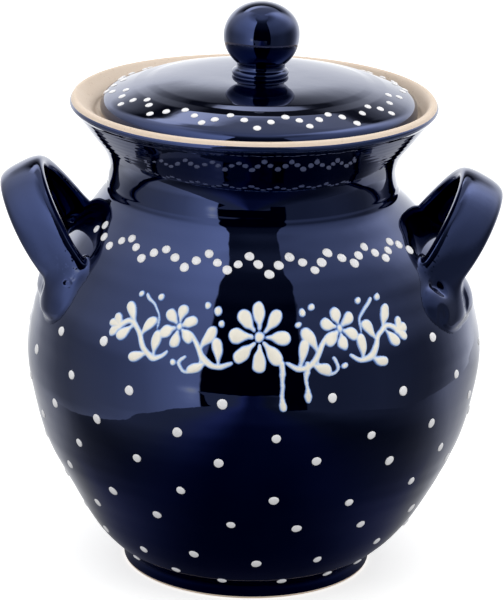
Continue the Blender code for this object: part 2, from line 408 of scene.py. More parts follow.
def build_pot():
    angle = np.arange(SEGMENTS) * math.tau / SEGMENTS
    edge = 0.18 * np.sin(angle * 3 + 1.0) + 0.12 * np.sin(angle * 7 + 2.0)
    rows, kinds = [], []

    def row(r, z, shift, kind):
        rows.append((r, z, shift))
        kinds.append(kind)

    # inside floor and wall, from the middle out and up
    floor = [(0.5, 11.6), (12, 11.6), (26, 11.55), (40, 11.8), (50, 12.4), (58, 13.9), (64, 16.2)]
    for r, z in resample(soften(floor, 2), 4.0):
        row(r, z, 0.0, 2)
    inside = waves(31, 6, (0, 3), (0.05, 0.5), 0.22)
    for z in np.arange(20, 252, 3.6):
        slope = float((wall_r(z + 0.5) - wall_r(z - 0.5)))
        k = 1 / math.sqrt(1 + slope * slope)
        out_z = z - 6.5 * slope * k  # the outside point whose inward normal meets this height
        for _ in range(3):
            slope = float((wall_r(out_z + 0.5) - wall_r(out_z - 0.5)))
            k = 1 / math.sqrt(1 + slope * slope)
            out_z = out_z + 0.8 * (z - (out_z + 6.5 * slope * k))
        r = float(wall_r(out_z)) - 6.5 * k
        shift = float(lean(z)) * (1 - float(smooth(z, 236, 252))) - 0.8 * float(smooth(z, 236, 252))
        row(r + inside(angle, z) * (0.4 if z > 225 else 1), z, shift, 2)
    throat = [(78.4, 253.4), (79.6, 256.5), (80.0, 259.5), (80.4, 261.2), (81.2, 262.0), (84.0, 262.2), (88.6, 262.3), (90.1, 262.9), (90.8, 264.0)]
    for r, z in resample(soften(throat, 2), 1.0):
        row(r, z, -0.8, 2 if z < 256 else 1)
    # bare flare and lip
    lip = [(90.9, 264.2), (91.6, 265.1), (93.6, 267.3), (95.8, 269.6), (97.2, 271.1), (98.2, 271.9), (99.2, 272.15), (100.2, 271.9), (100.95, 271.1), (101.35, 270.1)]
    for r, z in resample(soften(lip, 2), 0.6):
        shift = -0.8 - 2.1 * float(smooth(r, 91, 98))
        wobble = 0.10 * np.sin(angle * 2 + 0.4) + 0.05 * np.sin(angle * 5 + 2.2)
        row(r + wobble * float(smooth(r, 92, 98)), z + 0.18 * np.sin(angle * 1 - 1.2) + 0.10 * np.sin(angle * 3 + 0.7), shift, 1)
    # rolled glaze edge under the lip, thicker than the bare clay above it
    roll = [(101.55, 269.75), (102.1, 269.25), (102.35, 268.4), (102.1, 267.4), (101.3, 266.5), (100.1, 265.6), (98.8, 264.4)]
    for r, z in resample(soften(roll, 2), 0.5):
        row(r + 0.1 * np.sin(angle * 2 + 0.4), z + edge * float(smooth(z, 267.5, 269.75)) + 0.15 * np.sin(angle - 1.2), -2.9, 0)
    for z in np.r_[np.arange(263.4, 244, -0.42), np.arange(244, 236, -0.9), np.arange(236, 216, -0.7), np.arange(216, 190, -1.3), np.arange(190, 16, -2.3), np.arange(16, 8.2, -0.8)]:
        row(outer_r(angle, z), z, float(lean(z)), 0)
    # foot: a soft angle, the ring's edge, and the bare standing face
    foot = [(70.5, 7.9), (70.2, 7.2), (70.4, 6.3), (70.65, 4.6), (70.7, 2.6), (70.6, 1.8)]
    for r, z in resample(soften(foot, 2), 0.5):
        row(r, z, -1.6, 0)
    bare = [(70.6, 1.6), (70.5, 1.0), (70.1, 0.35), (69.3, 0.05), (67.0, 0.0), (63.5, 0.0), (62.3, 0.3), (61.4, 1.4), (60.4, 3.6), (59.0, 4.5), (50.0, 4.6), (30.0, 4.7), (8.0, 4.7), (0.5, 4.7)]
    under = resample(soften(bare, 2), 1.2)
    for i, (r, z) in enumerate(under):
        if r > 58 or i % 7 == 0 or i == len(under) - 1:
            row(r, z, -1.6, 1)
    verts, faces = turned("pot_wall", rows, close_top=True, close_bottom=True)
    made = mesh_object("pot_wall", verts, faces, pot_glaze)
    made.data.materials.append(clay)
    made.data.materials.append(inner_glaze)
    index = np.repeat(np.array([kinds[i] for i in range(len(rows) - 1)]), SEGMENTS)
    index = np.r_[index, np.full(SEGMENTS, kinds[0]), np.full(SEGMENTS, kinds[-1])]
    made.data.polygons.foreach_set("material_index", index.astype(np.int32))
    return made


pot = build_pot()
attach(pot, "pot")
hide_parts("pot_body")


# ---------------------------------------------------------------- strap handles, as smoothly joined forms

HANDLES = {
    -1: dict(z=179.44, x=101.35),
    1: dict(z=178.22, x=94.91),
}
SPAN, RISE, LEAN_DEG, POWER = 49.6, 55.05, 56.7, 1.80
STRAP_LOW, STRAP_TOP, STRAP_THICK = 26.1, 26.5, 9.84
TURN_LOW, TURN_TOP, BOW = 64.6, 60.9, -1.18
ROOT_TWIST = 0.46


def strap_line(side, count=140):
    """Middle line of a strap with its width direction, in mm, run on into the wall at both ends."""
    at = HANDLES[side]
    a = math.radians(LEAN_DEG)
    u = np.array([math.cos(a) * side, 0, math.sin(a)])
    v = np.array([-math.sin(a) * side, 0, math.cos(a)])
    t = np.linspace(0, math.pi, 600)
    s = -SPAN * np.sign(np.cos(t)) * np.abs(np.cos(t)) ** (2 / POWER)
    h = RISE * np.abs(np.sin(t)) ** (2 / POWER)
    run = np.r_[0, np.cumsum(np.hypot(np.diff(s), np.diff(h)))]
    even = np.linspace(0, run[-1], count)
    s, h = np.interp(even, run, s), np.interp(even, run, h)
    # soften the line's tight spots over about 4 mm
    gap = run[-1] / (count - 1)
    pad = 12
    weights = np.exp(-0.5 * ((np.arange(-pad, pad + 1) * gap) / 3.6) ** 2)
    weights /= weights.sum()

    def eased(v):
        before = 2 * v[0] - v[1 : pad + 1][::-1]
        after = 2 * v[-1] - v[-pad - 1 : -1][::-1]
        return np.convolve(np.r_[before, v, after], weights, "valid")

    s, h = eased(s), eased(h)
    h = np.maximum(h, 0.0) * (RISE / h.max())
    k = h / RISE
    middle = (
        np.array([side * at["x"], 0, at["z"]])
        + s[:, None] * np.array([0, 1.0, 0])
        + h[:, None] * u
        + (BOW * 4 * k * (1 - k))[:, None] * v
    )
    start, end = middle[0] - middle[1], middle[-1] - middle[-2]
    start, end = start / np.linalg.norm(start), end / np.linalg.norm(end)
    extra = np.linspace(14, 1.2, 12)[:, None]
    middle = np.r_[middle[0] + extra * start, middle, (middle[-1] + extra * end)[::-1]]
    k = np.r_[np.zeros(12), k, np.zeros(12)]
    along = np.gradient(middle, axis=0)
    along /= np.linalg.norm(along, axis=1)[:, None]
    turn = np.radians(TURN_LOW + (TURN_TOP - TURN_LOW) * k)
    # towards the roots the strap was twisted as it was pressed on, so its inner edge comes away from the loop's middle
    twist = ROOT_TWIST * middle[:, 1] / SPAN * (1 - k) ** 1.4
    wide = np.stack([-np.sin(turn) * side, twist, np.cos(turn)], -1)
    wide -= (wide * along).sum(1)[:, None] * along
    wide /= np.linalg.norm(wide, axis=1)[:, None]
    out = np.cross(along, wide)
    return middle, along, wide, out, k


def smin(a, b, k):
    h = np.maximum(k - np.abs(a - b), 0) / k
    return np.minimum(a, b) - h * h * k / 4


def smax(a, b, k):
    return -smin(-a, -b, k)


def wall_distance(p):
    """Signed distance of points (mm) from the outside of the pot wall, close to it."""
    x, y, z = p[:, 0], p[:, 1], p[:, 2]
    zc = np.clip(z, 10, 262)
    dx = x - lean(zc)
    angle = np.arctan2(dx, -y)
    slope = wall_r(zc + 0.5) - wall_r(zc - 0.5)
    return (np.hypot(dx, y) - outer_r(angle, zc)) / np.sqrt(1 + slope**2)


def ball(p, centre, axes, radii):
    """Rough signed distance from an ellipsoid with its axes as rows."""
    q = (p - centre) @ axes.T
    k0 = np.linalg.norm(q / radii, axis=1)
    k1 = np.linalg.norm(q / (radii * radii), axis=1)
    return k0 * (k0 - 1) / np.maximum(k1, 1e-6)


def wall_frame(side, degrees, z):
    """A point on the wall, degrees round from the handle's side towards the front (or past it to the back), and the directions across, up and out there."""
    angle = side * math.radians(90 - degrees)
    p = on_wall(angle, z)
    a, b = on_wall(angle, z + 0.5), on_wall(angle, z - 0.5)
    up = (a - b) / np.linalg.norm(a - b)
    c, d = on_wall(angle + 0.004 * side, z), on_wall(angle - 0.004 * side, z)
    across = (c - d) / np.linalg.norm(c - d)  # towards the handle's own side
    out = np.cross(across, up) * side
    if out @ (p * np.array([1, 1, 0])) < 0:
        out = -out
    return p, across, up, out


# Thumb marks: (degrees, height, half width, half height, turn in degrees, depth), soft hollows in the clay of the roots
PRESSES = {
    1: [
        (30.0, 179.0, 4.4, 6.5, 16, 0.75),
        (21.0, 167.5, 4.2, 7.5, -8, 0.75),
        (32.5, 167.0, 4.4, 6.0, 10, 0.5),
    ],
    -1: [
        (21.0, 170.0, 3.8, 8.0, 24, 0.4),
        (29.0, 176.5, 1.8, 2.6, 25, 0.4),
    ],
}
# Clay pressed out round the roots: (degrees, height, half width, half height, thickness)
PADS = {
    1: [(21.0, 171.5, 13.0, 14.0, 5.6), (27.5, 166.5, 10.5, 9.5, 4.2), (15.0, 171.5, 10.5, 13.0, 6.2), (33.0, 173.5, 6.0, 7.5, 3.2)],
    -1: [(20.0, 170.5, 12.0, 13.0, 5.2), (25.0, 168.0, 11.0, 12.0, 4.6), (12.0, 174.0, 11.0, 13.0, 6.4)],
}


def handle_field(side):
    middle, along, wide, out, k = strap_line(side)
    half_w = (STRAP_LOW + (STRAP_TOP - STRAP_LOW) * k) / 2
    half_t = np.full(len(k), STRAP_THICK / 2)
    root = 1 - smooth(k, 0.0, 0.28)
    half_w = half_w + 1.2 * root
    half_t = half_t + 0.6 * root
    gaps = np.linalg.norm(np.diff(middle, axis=0), axis=1)
    ahead, behind = np.r_[gaps, gaps[-1]], np.r_[gaps[0], gaps]
    last = len(middle) - 1

    def both_sides(degrees, z):
        p, across, up, outward = wall_frame(side, degrees, z)
        flip = np.array([1, -1, 1])
        return (p, across, up, outward), (p * flip, across * flip, up * flip, outward * flip)

    presses, pads = [], []
    for degrees, z, w, h, turn, depth in PRESSES[side]:
        c, s = math.cos(math.radians(turn)), math.sin(math.radians(turn))
        for p, across, up, outward in both_sides(degrees, z):
            presses.append((p, (across * c + up * s) / w, (-across * s + up * c) / h, outward, depth))
    for degrees, z, w, h, t in PADS[side]:
        for p, across, up, outward in both_sides(degrees, z):
            pads.append((p, np.stack([across, up, outward]), np.array([w, h, t])))

    def field(p):
        strap = np.empty(len(p))
        for i in range(0, len(p), 40000):
            q = p[i : i + 40000]
            near = ((q[:, None, :] - middle[None, :, :]) ** 2).sum(-1).argmin(1)
            # follow the line between its points, so that the form has no facets
            run = ((q - middle[near]) * along[near]).sum(1)
            at = np.clip(near + np.where(run > 0, run / ahead[near], run / behind[near]), 0, last - 1e-6)
            low = at.astype(int)
            f = (at - low)[:, None]

            def mix(v):
                return v[low] * (1 - f) + v[low + 1] * f

            d = q - mix(middle)
            a, b = (d * mix(wide)).sum(1), (d * mix(out)).sum(1)
            # a pulled strap is crowned, with full soft edges
            w, t, power = mix(half_w[:, None])[:, 0], mix(half_t[:, None])[:, 0], 2.6
            qa, qb = np.abs(a) / w, np.abs(b) / t
            f = np.maximum(qa**power + qb**power, 1e-9) ** (1 / power)
            ga = (qa / f) ** (power - 1) / w
            gb = (qb / f) ** (power - 1) / t
            strap[i : i + 40000] = (f - 1) / np.maximum(np.hypot(ga, gb), 1e-6)
        form = strap
        for centre, axes, radii in pads:
            form = smin(form, ball(p, centre, axes, radii), 9.0)
        wall = wall_distance(p)
        both = smin(wall, form, 3.6)
        for centre, a1, a2, outward, depth in presses:
            q = p - centre
            far = np.hypot(q @ a1, q @ a2)
            both = both + depth * (1 - smooth(far, 0.35, 1.1)) * (1 - smooth(np.abs(q @ outward), 11, 16))
        return np.minimum(both, wall), wall, form

    return field


def surface_net(values, origin, step):
    """Points and quads where a grid of values changes sign (naive surface nets)."""
    inside = values < 0
    nx, ny, nz = values.shape
    total = np.zeros((nx - 1, ny - 1, nz - 1, 3))
    hits = np.zeros((nx - 1, ny - 1, nz - 1))
    corners = [(i, j, k) for i in (0, 1) for j in (0, 1) for k in (0, 1)]

    def part(c, grid):
        return grid[c[0] : nx - 1 + c[0], c[1] : ny - 1 + c[1], c[2] : nz - 1 + c[2]]

    for a in corners:
        for axis in range(3):
            if a[axis]:
                continue
            b = tuple(a[i] + (i == axis) for i in range(3))
            va, vb = part(a, values), part(b, values)
            cross = part(a, inside) != part(b, inside)
            t = np.where(cross, va / np.where(cross, va - vb, 1), 0)
            hits += cross
            for i in range(3):
                total[..., i] += np.where(cross, a[i] + (t if i == axis else 0), 0)
    used = hits > 0
    index = np.full(used.shape, -1, np.int64)
    index[used] = np.arange(used.sum())
    cell = np.argwhere(used)
    points = (cell + total[used] / hits[used][:, None]) * step + origin
    quads = []
    for axis in range(3):
        u, v = (axis + 1) % 3, (axis + 2) % 3
        low = [slice(1, -1)] * 3
        low[axis] = slice(0, -1)
        high = list(low)
        high[axis] = slice(1, None)
        a, b = inside[tuple(low)], inside[tuple(high)]
        at = np.argwhere(a != b)
        flip = a[tuple(at.T)]
        at = at + np.array([0 if i == axis else 1 for i in range(3)])

        def cell_at(du, dv):
            c = at.copy()
            c[:, u] += du
            c[:, v] += dv
            return index[tuple(c.T)]

        q = np.stack([cell_at(-1, -1), cell_at(0, -1), cell_at(0, 0), cell_at(-1, 0)], -1)
        q[~flip] = q[~flip][:, ::-1]
        quads.append(q)
    return points, np.concatenate(quads)


def build_handle(name, side):
    field = handle_field(side)
    step = 0.8
    low = np.array([84.0, -78.0, 146.0])
    high = np.array([147.0, 78.0, 240.0])
    if side < 0:
        low, high = np.array([-high[0], low[1], low[2]]), np.array([-low[0], high[1], high[2]])
    counts = np.ceil((high - low) / step).astype(int) + 1
    axes = [low[i] + step * np.arange(counts[i]) for i in range(3)]
    grid = np.stack(np.meshgrid(*axes, indexing="ij"), -1).reshape(-1, 3)
    values = np.full(len(grid), 5.0)
    wall = wall_distance(grid)
    values[wall < -3] = -3.0
    test = wall >= -3
    values[test] = field(grid[test])[0]
    points, quads = surface_net(values.reshape(tuple(counts)), low, step)
    offsets = np.eye(3) * 0.05

    def gradient(p):
        g = np.stack([(field(p + o)[0] - field(p - o)[0]) / 0.1 for o in offsets], -1)
        return g

    both, on, form = field(points)
    keep = (on > -1.0) & (np.minimum(both, 99) < 3)
    for _ in range(3):
        value = field(points)[0]
        g = gradient(points)
        points = points - (value / np.maximum((g**2).sum(1), 0.05))[:, None] * g
    both, on, form = field(points)
    stands = on > 0.035
    solid = stands[quads].all(1) & (quads >= 0).all(1)
    quads = quads[solid]
    used = np.unique(quads)
    again = np.full(len(points), -1)
    again[used] = np.arange(len(used))
    points, quads = points[used], again[quads]
    g = gradient(points)
    normals = g / np.linalg.norm(g, axis=1)[:, None]
    made = mesh_object(name, points * MM, quads, glaze)
    made.data.normals_split_custom_set_from_vertices([tuple(n) for n in normals])
    return made


for handle_name, handle_side, node in (("strap_left", -1, "handle_left"), ("strap_right", 1, "handle_right")):
    strap = build_handle(handle_name, handle_side)
    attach(strap, "pot")
    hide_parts(node)


# ---------------------------------------------------------------- lid and knob

# How steeply the lid's top falls, by radius: a low dome, a steeper turned band at its foot, a shallow groove and a sloping brim
LID_TOP_Z = 284.5
LID_SLOPE = (
    (0, 0.0), (20, 0.012), (28, 0.03), (34, 0.045), (40, 0.07), (46, 0.115), (52, 0.165), (58.4, 0.205), (59.8, 0.28), (63.4, 0.285),
    (64.4, 0.225), (69.4, 0.225), (70.6, 0.35), (80, 0.385), (84, 0.45),
)
lid_r = np.arange(0, 84.01, 0.1)
lid_fall = np.interp(lid_r, *np.array(LID_SLOPE).T)
lid_fall = np.convolve(np.r_[[0.0] * 4, lid_fall, [lid_fall[-1]] * 4], np.full(9, 1 / 9), "valid")
lid_z = LID_TOP_Z - np.r_[0, np.cumsum((lid_fall[1:] + lid_fall[:-1]) * 0.05)]
lid_waves = waves(23, 7, (0, 4), (0.04, 0.12), 0.045)
LID_EDGE = [(82.4, float(np.interp(82.4, lid_r, lid_z))), (84.4, 272.65), (86.4, 271.2), (87.8, 269.1), (88.4, 266.6), (88.3, 264.3), (87.4, 262.9)]


def lid_form(r):
    """Height of the lid's top."""
    return np.interp(np.asarray(r, float), lid_r, lid_z)


def lid_top(angle, r):
    return lid_form(r) + lid_waves(angle, r) * smooth(r, 20, 30)


def build_lid():
    angle = np.arange(SEGMENTS) * math.tau / SEGMENTS
    rows, kinds = [], []

    def row(r, z, kind):
        rows.append((r, z, 0.0))
        kinds.append(kind)

    row(0.5, LID_TOP_Z, 0)
    row(8.0, LID_TOP_Z, 0)
    for r in np.r_[np.arange(12.0, 56.5, 1.5), np.arange(57.0, 71.0, 0.35), np.arange(71.2, 82.2, 0.7)]:
        row(r, lid_top(angle, r), 0)
    wob = 0.12 * np.sin(angle * 2 + 2.0) + 0.08 * np.sin(angle * 3)
    for r, z in resample(soften(LID_EDGE, 3), 0.5):
        row(r + wob * float(smooth(r, 83, 86)), z, 0)
    under = [(87.2, 262.75), (86.4, 262.45), (84.0, 262.4), (80.0, 262.4), (78.2, 262.3), (77.4, 261.4), (77.2, 259.0), (76.9, 254.5), (76.4, 252.6), (75.4, 252.0), (74.2, 252.2), (73.4, 253.4), (72.9, 257.0), (72.4, 263.0), (71.4, 267.0), (68.8, 270.4), (62.0, 272.9), (52.0, 275.4), (40.0, 276.9), (24.0, 277.7), (10.0, 277.9), (0.5, 277.9)]
    for r, z in resample(soften(under, 2), 1.1):
        row(r, z, 1 if r > 70 else 2)
    verts, faces = turned("lid_disc", rows, close_top=True, close_bottom=True)
    made = mesh_object("lid_disc", verts, faces, glaze)
    made.data.materials.append(clay)
    made.data.materials.append(inner_glaze)
    index = np.repeat(np.array(kinds[:-1]), SEGMENTS)
    index = np.r_[index, np.full(SEGMENTS, kinds[0]), np.full(SEGMENTS, kinds[-1])]
    made.data.polygons.foreach_set("material_index", index.astype(np.int32))
    return made


def build_knob():
    angle = np.arange(SEGMENTS // 2) * math.tau / (SEGMENTS // 2)
    rows = []
    soft = waves(41, 5, (0, 3), (0.1, 0.3), 0.10)
    for i in range(1, 41):
        a = math.radians(90 * i / 40)
        r, z = 21.1 * math.sin(a), 307.3 + 18.0 * math.cos(a)
        rows.append((r + soft(angle, z) * math.sin(a), z, 0.4))
    stop = math.acos(13.6 / 21.1)
    for i in range(1, 25):
        a = stop * i / 24
        r, z = 21.1 * math.cos(a), 307.3 - 21.1 * math.sin(a)
        rows.append((r + soft(angle, z) * math.cos(a), z, 0.4))
    last = rows[-1][1]
    # a rounded ring under the ball, then a short stem that melts into the lid
    neck = [(13.6, last), (13.3, last - 0.5), (13.3, last - 1.1), (13.4, 288.9), (13.9, 288.2), (14.9, 287.6), (15.6, 286.9), (15.8, 286.1), (15.6, 285.4), (15.3, 284.9), (15.3, 284.6), (15.6, 284.35)]
    for r, z in resample(soften(neck, 3), 0.3)[1:]:
        rows.append((r, z, 0.4 * float(smooth(z, 285, 291))))
    rows.append((15.2, 283.6, 0.0))
    rows.append((0.5, 283.5, 0.0))
    verts, faces = turned("ball_knob", rows, close_top=True, close_bottom=True, segments=SEGMENTS // 2)
    return mesh_object("ball_knob", verts, faces, glaze)


lid = build_lid()
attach(lid, "lid_and_knob")
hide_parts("lid")
knob = build_knob()
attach(knob, "lid_and_knob")
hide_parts("lid_knob")


# ---------------------------------------------------------------- raised dots

def dots_object(name, spots, place, body, rng, height=0.75):
    """One mesh of low domes. spots are (u, v, radius) and place(u, v, du, dv, out) gives points du across and dv along from a spot."""
    verts, faces, thick = [], [], []
    around, levels = 22, 6
    for u, v, radius in spots:
        start = len(verts)
        stretch, tilt = rng.uniform(0.93, 1.09), rng.uniform(0, math.pi)
        lump, phase = rng.uniform(0.0, 0.05), rng.uniform(0, math.tau)
        rim = []
        a = np.arange(around) * math.tau / around
        shape = 1 + lump * np.cos(2 * (a - tilt)) * 1.0 + 0.02 * np.cos(3 * a + phase)
        rows = []
        for i in range(levels + 1):
            t = i / levels
            ring = radius * shape * (math.sin(t * math.pi / 2) if i < levels else 1.06) * stretch ** 0.5
            top = height * (math.cos(t * math.pi / 2) ** 0.75 if i < levels else 0) - (0.25 if i == levels else 0) - (0.02 if i == levels - 1 else 0)
            if i == 0:
                rows.append((np.zeros(1), np.zeros(1), np.full(1, height)))
            else:
                rows.append((ring * np.cos(a), ring * np.sin(a), np.full(around, top)))
        for du, dv, out in rows:
            for p in place(u, v, du, dv, out):
                verts.append(p * MM)
        thick += [1.0] + [1.0] * around * (levels - 1) + [0.05] * around
        for j in range(around):
            faces.append((start, start + 1 + j, start + 1 + (j + 1) % around))
        for i in range(1, levels):
            a0, b0 = start + 1 + (i - 1) * around, start + 1 + i * around
            for j in range(around):
                k = (j + 1) % around
                faces.append((a0 + j, b0 + j, b0 + k, a0 + k))
    made = mesh_object(name, verts, faces, white_slip)
    attribute = made.data.attributes.new("thick", "FLOAT", "POINT")
    attribute.data.foreach_set("value", np.array(thick, np.float32))
    bm = bmesh.new()
    bm.from_mesh(made.data)
    bmesh.ops.recalc_face_normals(bm, faces=bm.faces)
    bm.to_mesh(made.data)
    bm.free()
    return made


def place_on_wall(u, v, du, dv, out):
    r = float(wall_r(v))
    slope = float(wall_r(v + 0.5) - wall_r(v - 0.5))
    k = 1 / math.sqrt(1 + slope * slope)
    z = v + dv * k
    return on_wall(u + du / r, z, out)


lid_path = [(float(r), float(lid_form(r))) for r in np.arange(20, 82.2, 0.3)] + soften(LID_EDGE, 3)
lid_path = np.array(lid_path)
lid_run = np.r_[0, np.cumsum(np.hypot(*np.diff(lid_path, axis=0).T))]


def place_on_lid(u, v, du, dv, out):
    """dv runs inward along the lid's profile, round its edge too."""
    at = np.interp(v, lid_path[:, 0][: int(np.argmax(lid_path[:, 0]))], lid_run[: int(np.argmax(lid_path[:, 0]))]) - dv
    r, z = np.interp(at, lid_run, lid_path[:, 0]), np.interp(at, lid_run, lid_path[:, 1])
    tr = np.interp(at + 0.4, lid_run, lid_path[:, 0]) - np.interp(at - 0.4, lid_run, lid_path[:, 0])
    tz = np.interp(at + 0.4, lid_run, lid_path[:, 1]) - np.interp(at - 0.4, lid_run, lid_path[:, 1])
    size = np.hypot(tr, tz)
    angle = u + du / v
    z = z + lid_waves(angle, r) * (r < 82.2)
    r, z = r - out * tz / size, z + out * tr / size
    return np.stack([r * np.sin(angle), -r * np.cos(angle), z + 0 * r], -1)


rng = random.Random(2026)

# Zigzag chain on the shoulder, four dots to a wave, laid by hand so never quite even. It stops short of the handles.
FRONT_CHAIN = (
    (-65.6, 204.6), (-62.2, 208.0), (-58.4, 203.5), (-53.3, 201.1), (-49.2, 205.0), (-45.4, 207.3), (-41.9, 204.3), (-37.9, 200.3), (-34.2, 203.9),
    (-30.2, 206.4), (-26.2, 203.6), (-22.2, 200.0), (-18.8, 203.6), (-14.9, 207.2), (-11.8, 203.6), (-8.5, 200.8), (-5.1, 203.5), (-1.4, 207.2),
    (1.3, 203.8), (4.5, 199.5), (7.8, 203.4), (11.8, 206.8), (15.7, 204.3), (19.0, 200.6), (22.0, 203.7), (25.2, 207.5), (29.5, 204.6), (33.1, 201.6),
    (36.0, 204.5), (39.9, 207.5), (42.8, 204.1), (45.8, 200.9), (48.7, 203.6), (52.0, 206.7), (55.2, 204.3), (58.5, 200.6),
)
shoulder = [(math.radians(a), z, 2.5 * rng.uniform(0.94, 1.06)) for a, z in FRONT_CHAIN]
for i in range(37):
    rise = (-3.4, 0.1, 3.4, 0.1)[i % 4]
    degrees = 180 - 63.0 + 126.0 * i / 36 + rng.uniform(-0.35, 0.35)
    shoulder.append((math.radians(degrees), 203.8 + rise + rng.uniform(-0.5, 0.5), 2.5 * rng.uniform(0.94, 1.06)))

# Rows of dots on the belly: the front ones by their places, the rest on the same spacing
FRONT_ROWS = [
    (157.0, ((-57.7, -3.0), (-41.0, 0.7), (52.4, 1.4))),
    (135.5, ((-50.6, -1.6), (-31.2, 0.2), (-7.2, -0.1), (19.5, 2.5), (39.4, -0.1), (60.7, -2.2))),
    (114.5, ((-58.6, -2.4), (-41.3, -0.4), (-18.2, 2.3), (5.9, 2.1), (30.3, -0.7), (50.7, -3.8), (72.3, -1.4))),
    (96.5, ((-70.6, 0.1), (-50.2, -2.6), (-29.9, -0.1), (-8.0, 4.2), (16.3, 5.3), (37.6, -1.7), (59.3, -6.3))),
    (75.5, ((-60.0, -2.2), (-41.3, -6.7), (-18.4, 5.1), (6.2, 2.1), (27.8, -3.8), (49.5, -0.5))),
    (56.0, ((-53.4, -3.1), (-27.5, 4.0), (-5.3, 3.7), (13.8, 0.7), (35.4, -3.2), (60.3, -6.5))),
    (32.0, ((-39.4, -3.4), (-18.4, 2.6), (2.8, -1.4), (24.3, -1.2), (49.1, 1.4))),
    (13.8, ((-54.1, -0.8), (-29.0, 3.0), (-9.9, -0.8), (15.3, -1.1), (36.9, -1.1))),
]
belly = []
for height, known in FRONT_ROWS:
    for degrees, dz in known:
        belly.append((math.radians(degrees), height + dz, 2.6 * rng.uniform(0.92, 1.08)))
    first, last = known[0][0], known[-1][0]
    gap = 360 - (last - first)
    count = max(int(round(gap / 21.5)), 2)
    for i in range(1, count):
        degrees = last + gap * i / count + rng.uniform(-2.2, 2.2)
        z = height + rng.uniform(-2.6, 2.6)
        if height > 150 and (math.cos(math.radians(degrees)) > 0.55):
            continue
        side_angle = abs(abs(((degrees + 180) % 360) - 180) - 90)
        if height > 150 and side_angle < 38:
            continue
        belly.append((math.radians(degrees), z, 2.6 * rng.uniform(0.92, 1.08)))

LID_CHAIN = (
    (-80.8, 74.6), (-74.3, 78.2), (-66.7, 82.1), (-64.9, 76.0), (-58.7, 71.4), (-53.3, 74.4), (-47.0, 80.3), (-41.6, 75.3), (-34.3, 70.6), (-27.9, 74.0),
    (-22.8, 79.0), (-18.4, 75.0), (-12.7, 70.0), (-6.2, 73.5), (-0.7, 80.1), (4.8, 74.7), (11.4, 70.4), (16.8, 73.9), (19.9, 79.3), (25.5, 74.4),
    (31.2, 71.0), (36.5, 74.8), (40.0, 81.6), (47.7, 75.0), (55.2, 71.5), (59.6, 76.0), (61.4, 81.7), (70.0, 75.6), (79.6, 72.0), (83.1, 77.4),
    (95.4, 79.9),
)
lid_chain = [(math.radians(a), r, 2.05 * rng.uniform(0.93, 1.07)) for a, r in LID_CHAIN]
for i in range(33):
    inward = (82.0, 78.6, 82.0, 84.6)[i % 4]
    degrees = 101.0 + (360 - 80.8 - 101.0 - 5.0) * i / 32
    lid_chain.append((math.radians(degrees + rng.uniform(-0.6, 0.6)), inward + rng.uniform(-0.6, 0.6), 2.05 * rng.uniform(0.93, 1.07)))

dots_high = dots_object("slip_dots_shoulder", shoulder, place_on_wall, "pot", rng)
dots_low = dots_object("slip_dots_belly", belly, place_on_wall, "pot", rng)
dots_lid = dots_object("slip_dots_lid", lid_chain, place_on_lid, "lid_and_knob", rng, 0.6)
for piece, body, slot in ((dots_high, "pot", "body_glaze"), (dots_low, "pot", "body_glaze"), (dots_lid, "lid_and_knob", "lid_glaze")):
    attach(piece, body)


# ---------------------------------------------------------------- slip-trailed flower spray on the front

def drop(x, z, turn, length, width, bend=0.0, thin=1.3):
    """One squeeze of the slip trailer: a thin tail at (x, z) that swells into a full round end."""
    pts = []
    for i in range(13):
        t = i / 12
        a = math.radians(turn) + bend * t * 0.5
        swell = thin + (width - thin) * float(smooth(t, 0.12, 0.86))
        reach = (length - width / 2) * t
        pts.append((x + reach * math.cos(a), z + reach * math.sin(a), swell))
    return pts


def stem(points, widths):
    p = np.array(points, float)
    s = np.r_[0, np.cumsum(np.hypot(*np.diff(p, axis=0).T))]
    fx, fz = spline(s, p[:, 0]), spline(s, p[:, 1])
    t = np.linspace(0, s[-1], max(int(s[-1] / 1.2), 6))
    w = np.interp(t, np.linspace(0, s[-1], len(widths)), widths)
    return list(zip(fx(t), fz(t), w))


def curl(x, z, start, turns, big, small, width, way=1):
    pts = []
    for i in range(26):
        t = i / 25
        r = big + (small - big) * t
        a = math.radians(start) + way * turns * math.tau * t
        pts.append((x + r * math.cos(a), z + r * math.sin(a), width * (1 + 0.5 * t)))
    return pts


def blossom(x, z, petals, hole, reach, width, turn, rng):
    """Petals as drops, tails to the middle, round a full dot."""
    strokes = []
    for i in range(petals):
        a = turn + 360 * i / petals + rng.uniform(-3, 3)
        c, s = math.cos(math.radians(a)), math.sin(math.radians(a))
        strokes.append(drop(x + hole * c, z + hole * s, a, reach - hole + rng.uniform(-0.5, 0.5), width * rng.uniform(0.93, 1.07), rng.uniform(-0.12, 0.12), 1.9))
    strokes.append([(x, z, hole * 1.25), (x + 0.3, z + 0.2, hole * 1.25)])
    return strokes


